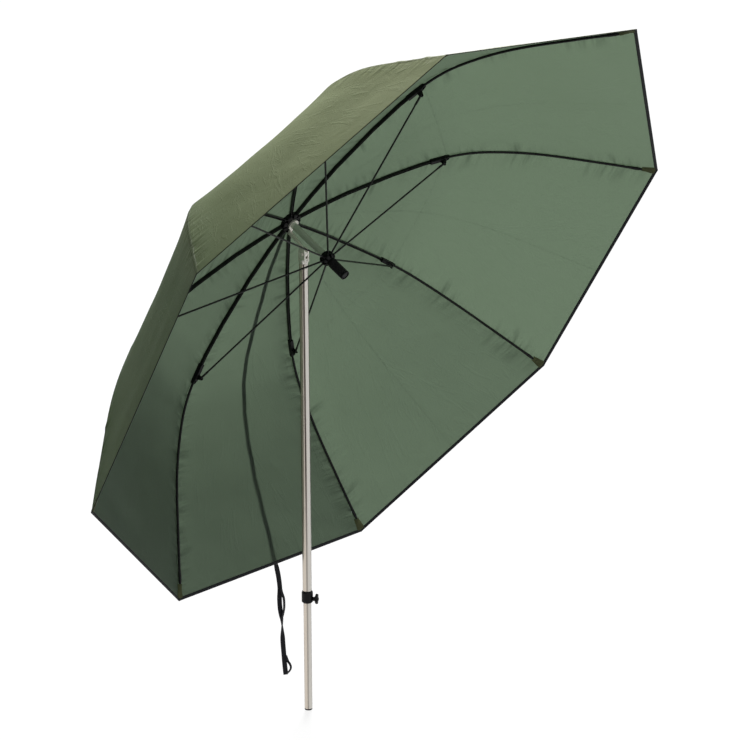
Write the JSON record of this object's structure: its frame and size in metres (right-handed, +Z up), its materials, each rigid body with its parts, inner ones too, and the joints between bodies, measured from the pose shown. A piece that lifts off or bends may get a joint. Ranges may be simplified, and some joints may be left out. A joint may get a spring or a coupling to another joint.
{
  "type": "fishing umbrella",
  "caption": "Large ribbed fishing umbrella on a telescopic pole, its canopy tilted far over on a joint at the pole's top, with a sliding runner and a hanging tie strap.",
  "frame": {"origin": "centre of the flat foot at the lower end of the pole", "axes": "+Z up along the pole, +X the way the open side of the tilted canopy faces, +Y along the tilt bolt"},
  "size_m": [1.0323, 1.7726, 1.9229],
  "materials": {
    "chrome_pole": "bright polished tube with fine lengthwise streaks",
    "grey_tube": "satin grey-green tube",
    "zinc_steel": "plain zinc-plated steel",
    "black_steel": "black coated pressed steel",
    "black_rod": "black fibreglass rod, satin",
    "black_plastic": "black moulded plastic, slightly worn",
    "black_grip": "black ribbed hand grip",
    "button_plastic": "turquoise moulded catch button",
    "canopy_cloth": "olive-green woven polyester, thinly coated, with a near-black bound hem",
    "webbing": "flat black woven webbing"
  },
  "bodies": {
    "lower_pole": {"foot_plug": "black_plastic", "lower_pole": "chrome_pole"},
    "upper_pole": {"upper_pole": "chrome_pole", "clamp_collar": "black_plastic", "tilt_fork": "zinc_steel", "tilt_bolt": "zinc_steel"},
    "knob": {"clamp_knob": "black_plastic"},
    "crown": {"crown_hub": "black_plastic", "crown_cap": "black_plastic", "crown_wire": "zinc_steel", "centre_tube": "grey_tube", "tube_plug": "black_plastic", "tilt_bracket": "zinc_steel"},
    "runner": {"runner_head": "black_plastic", "runner_grip": "black_grip", "runner_wire": "zinc_steel"},
    "button": {"runner_button": "button_plastic"},
    "rib_A": {"rib_inner_A": "black_steel", "rib_joint_A": "black_plastic", "canopy_panel_A": "canopy_cloth"},
    "rib_B": {"rib_inner_B": "black_steel", "rib_joint_B": "black_plastic", "canopy_panel_B": "canopy_cloth"},
    "rib_C": {"rib_inner_C": "black_steel", "rib_joint_C": "black_plastic", "canopy_panel_C": "canopy_cloth"},
    "rib_D": {"rib_inner_D": "black_steel", "rib_joint_D": "black_plastic", "canopy_panel_D": "canopy_cloth", "strap_band": "webbing", "tie_strap": "webbing"},
    "rib_E": {"rib_inner_E": "black_steel", "rib_joint_E": "black_plastic", "canopy_panel_E": "canopy_cloth"},
    "rib_F": {"rib_inner_F": "black_steel", "rib_joint_F": "black_plastic", "canopy_panel_F": "canopy_cloth"},
    "rib_G": {"rib_inner_G": "black_steel", "rib_joint_G": "black_plastic", "canopy_panel_G": "canopy_cloth"},
    "rib_H": {"rib_inner_H": "black_steel", "rib_joint_H": "black_plastic", "canopy_panel_H": "canopy_cloth"},
    "rod_A": {"rib_outer_A": "black_rod"},
    "rod_B": {"rib_outer_B": "black_rod"},
    "rod_C": {"rib_outer_C": "black_rod"},
    "rod_D": {"rib_outer_D": "black_rod"},
    "rod_E": {"rib_outer_E": "black_rod"},
    "rod_F": {"rib_outer_F": "black_rod"},
    "rod_G": {"rib_outer_G": "black_rod"},
    "rod_H": {"rib_outer_H": "black_rod"},
    "stretcher_A": {"stretcher_A": "black_steel"},
    "stretcher_B": {"stretcher_B": "black_steel"},
    "stretcher_C": {"stretcher_C": "black_steel"},
    "stretcher_D": {"stretcher_D": "black_steel"},
    "stretcher_E": {"stretcher_E": "black_steel"},
    "stretcher_F": {"stretcher_F": "black_steel"},
    "stretcher_G": {"stretcher_G": "black_steel"},
    "stretcher_H": {"stretcher_H": "black_steel"}
  },
  "joints": [
    {"name": "pole_slide", "type": "slide", "parent": "lower_pole", "child": "upper_pole", "axis": [0, 0, 1], "range_m": [-0.3, 0.5]},
    {"name": "clamp_screw", "type": "hinge", "parent": "upper_pole", "child": "knob", "pos_m": [0, 0, 0.3325], "axis": [0.8192, 0.5736, 0], "range_deg": [0, 300]},
    {"name": "tilt", "type": "hinge", "parent": "upper_pole", "child": "crown", "pos_m": [0, 0, 1.3103], "axis": [0, 1, 0], "range_deg": [-4, 59]},
    {"name": "canopy_fold", "type": "hinge", "parent": "crown", "child": "rib_A", "pos_m": [-0.03525, 0.00995, 1.41084], "axis": [-0.1971, 0.9239, -0.328], "range_deg": [0, 77], "deforming": ["canopy_panel_A"]},
    {"name": "fold_B", "type": "hinge", "parent": "crown", "child": "rib_B", "pos_m": [-0.0425, 0.02402, 1.39878], "axis": [-0.4758, 0.3827, -0.7919], "range_deg": [0, 77], "deforming": ["canopy_panel_B"]},
    {"name": "fold_C", "type": "hinge", "parent": "crown", "child": "rib_C", "pos_m": [-0.05275, 0.02402, 1.38172], "axis": [-0.4758, -0.3827, -0.7919], "range_deg": [0, 77], "deforming": ["canopy_panel_C"]},
    {"name": "fold_D", "type": "hinge", "parent": "crown", "child": "rib_D", "pos_m": [-0.06, 0.00995, 1.36966], "axis": [-0.1971, -0.9239, -0.328], "range_deg": [0, 77], "deforming": ["canopy_panel_D", "strap_band", "tie_strap"]},
    {"name": "fold_E", "type": "hinge", "parent": "crown", "child": "rib_E", "pos_m": [-0.06, -0.00995, 1.36966], "axis": [0.1971, -0.9239, 0.328], "range_deg": [0, 77], "deforming": ["canopy_panel_E"]},
    {"name": "fold_F", "type": "hinge", "parent": "crown", "child": "rib_F", "pos_m": [-0.05275, -0.02402, 1.38172], "axis": [0.4758, -0.3827, 0.7919], "range_deg": [0, 77], "deforming": ["canopy_panel_F"]},
    {"name": "fold_G", "type": "hinge", "parent": "crown", "child": "rib_G", "pos_m": [-0.0425, -0.02402, 1.39878], "axis": [0.4758, 0.3827, 0.7919], "range_deg": [0, 77], "deforming": ["canopy_panel_G"]},
    {"name": "fold_H", "type": "hinge", "parent": "crown", "child": "rib_H", "pos_m": [-0.03525, -0.00995, 1.41084], "axis": [0.1971, 0.9239, 0.328], "range_deg": [0, 77], "deforming": ["canopy_panel_H"]},
    {"name": "runner_slide", "type": "slide", "parent": "crown", "child": "runner", "axis": [-0.8572, 0, 0.515], "range_m": [0, 0.124]},
    {"name": "catch_press", "type": "slide", "parent": "runner", "child": "button", "axis": [0, -1, 0], "range_m": [0, 0.0025], "stiffness_N_per_m": 800},
    {"name": "knee_A", "type": "hinge", "parent": "rib_A", "child": "rod_A", "pos_m": [0.24993, 0.1937, 1.757], "axis": [0.1971, -0.9239, 0.328], "range_deg": [0, 27]},
    {"name": "knee_B", "type": "hinge", "parent": "rib_B", "child": "rod_B", "pos_m": [0.10884, 0.46762, 1.5222], "axis": [0.4758, -0.3827, 0.7919], "range_deg": [0, 27]},
    {"name": "knee_C", "type": "hinge", "parent": "rib_C", "child": "rod_C", "pos_m": [-0.09068, 0.46762, 1.19015], "axis": [0.4758, 0.3827, 0.7919], "range_deg": [0, 27]},
    {"name": "knee_D", "type": "hinge", "parent": "rib_D", "child": "rod_D", "pos_m": [-0.23176, 0.1937, 0.95534], "axis": [0.1971, 0.9239, 0.328], "range_deg": [0, 27]},
    {"name": "knee_E", "type": "hinge", "parent": "rib_E", "child": "rod_E", "pos_m": [-0.23176, -0.1937, 0.95534], "axis": [-0.1971, 0.9239, -0.328], "range_deg": [0, 27]},
    {"name": "knee_F", "type": "hinge", "parent": "rib_F", "child": "rod_F", "pos_m": [-0.09068, -0.46762, 1.19015], "axis": [-0.4758, 0.3827, -0.7919], "range_deg": [0, 27]},
    {"name": "knee_G", "type": "hinge", "parent": "rib_G", "child": "rod_G", "pos_m": [0.10884, -0.46762, 1.5222], "axis": [-0.4758, -0.3827, -0.7919], "range_deg": [0, 27]},
    {"name": "knee_H", "type": "hinge", "parent": "rib_H", "child": "rod_H", "pos_m": [0.24993, -0.1937, 1.757], "axis": [-0.1971, -0.9239, -0.328], "range_deg": [0, 27]},
    {"name": "stretch_A", "type": "hinge", "parent": "runner", "child": "stretcher_A", "pos_m": [0.09418, 0.00651, 1.32336], "axis": [-0.1971, 0.9239, -0.328], "range_deg": [0, 98.56]},
    {"name": "stretch_B", "type": "hinge", "parent": "runner", "child": "stretcher_B", "pos_m": [0.08944, 0.01571, 1.31548], "axis": [-0.4758, 0.3827, -0.7919], "range_deg": [0, 98.56]},
    {"name": "stretch_C", "type": "hinge", "parent": "runner", "child": "stretcher_C", "pos_m": [0.08274, 0.01571, 1.30433], "axis": [-0.4758, -0.3827, -0.7919], "range_deg": [0, 98.56]},
    {"name": "stretch_D", "type": "hinge", "parent": "runner", "child": "stretcher_D", "pos_m": [0.078, 0.00651, 1.29644], "axis": [-0.1971, -0.9239, -0.328], "range_deg": [0, 98.56]},
    {"name": "stretch_E", "type": "hinge", "parent": "runner", "child": "stretcher_E", "pos_m": [0.078, -0.00651, 1.29644], "axis": [0.1971, -0.9239, 0.328], "range_deg": [0, 98.56]},
    {"name": "stretch_F", "type": "hinge", "parent": "runner", "child": "stretcher_F", "pos_m": [0.08274, -0.01571, 1.30433], "axis": [0.4758, -0.3827, 0.7919], "range_deg": [0, 98.56]},
    {"name": "stretch_G", "type": "hinge", "parent": "runner", "child": "stretcher_G", "pos_m": [0.08944, -0.01571, 1.31548], "axis": [0.4758, 0.3827, 0.7919], "range_deg": [0, 98.56]},
    {"name": "stretch_H", "type": "hinge", "parent": "runner", "child": "stretcher_H", "pos_m": [0.09418, -0.00651, 1.32336], "axis": [0.1971, 0.9239, 0.328], "range_deg": [0, 98.56]}
  ],
  "couplings": [
    {"joint": "fold_B", "follows": "canopy_fold", "ratio": 1},
    {"joint": "fold_C", "follows": "canopy_fold", "ratio": 1},
    {"joint": "fold_D", "follows": "canopy_fold", "ratio": 1},
    {"joint": "fold_E", "follows": "canopy_fold", "ratio": 1},
    {"joint": "fold_F", "follows": "canopy_fold", "ratio": 1},
    {"joint": "fold_G", "follows": "canopy_fold", "ratio": 1},
    {"joint": "fold_H", "follows": "canopy_fold", "ratio": 1},
    {"joint": "runner_slide", "follows": "canopy_fold", "m_per_rad": 0.092268},
    {"joint": "knee_A", "follows": "canopy_fold", "ratio": 0.35065},
    {"joint": "knee_B", "follows": "canopy_fold", "ratio": 0.35065},
    {"joint": "knee_C", "follows": "canopy_fold", "ratio": 0.35065},
    {"joint": "knee_D", "follows": "canopy_fold", "ratio": 0.35065},
    {"joint": "knee_E", "follows": "canopy_fold", "ratio": 0.35065},
    {"joint": "knee_F", "follows": "canopy_fold", "ratio": 0.35065},
    {"joint": "knee_G", "follows": "canopy_fold", "ratio": 0.35065},
    {"joint": "knee_H", "follows": "canopy_fold", "ratio": 0.35065},
    {"joint": "stretch_A", "follows": "canopy_fold", "ratio": 1.28},
    {"joint": "stretch_B", "follows": "canopy_fold", "ratio": 1.28},
    {"joint": "stretch_C", "follows": "canopy_fold", "ratio": 1.28},
    {"joint": "stretch_D", "follows": "canopy_fold", "ratio": 1.28},
    {"joint": "stretch_E", "follows": "canopy_fold", "ratio": 1.28},
    {"joint": "stretch_F", "follows": "canopy_fold", "ratio": 1.28},
    {"joint": "stretch_G", "follows": "canopy_fold", "ratio": 1.28},
    {"joint": "stretch_H", "follows": "canopy_fold", "ratio": 1.28}
  ]
}
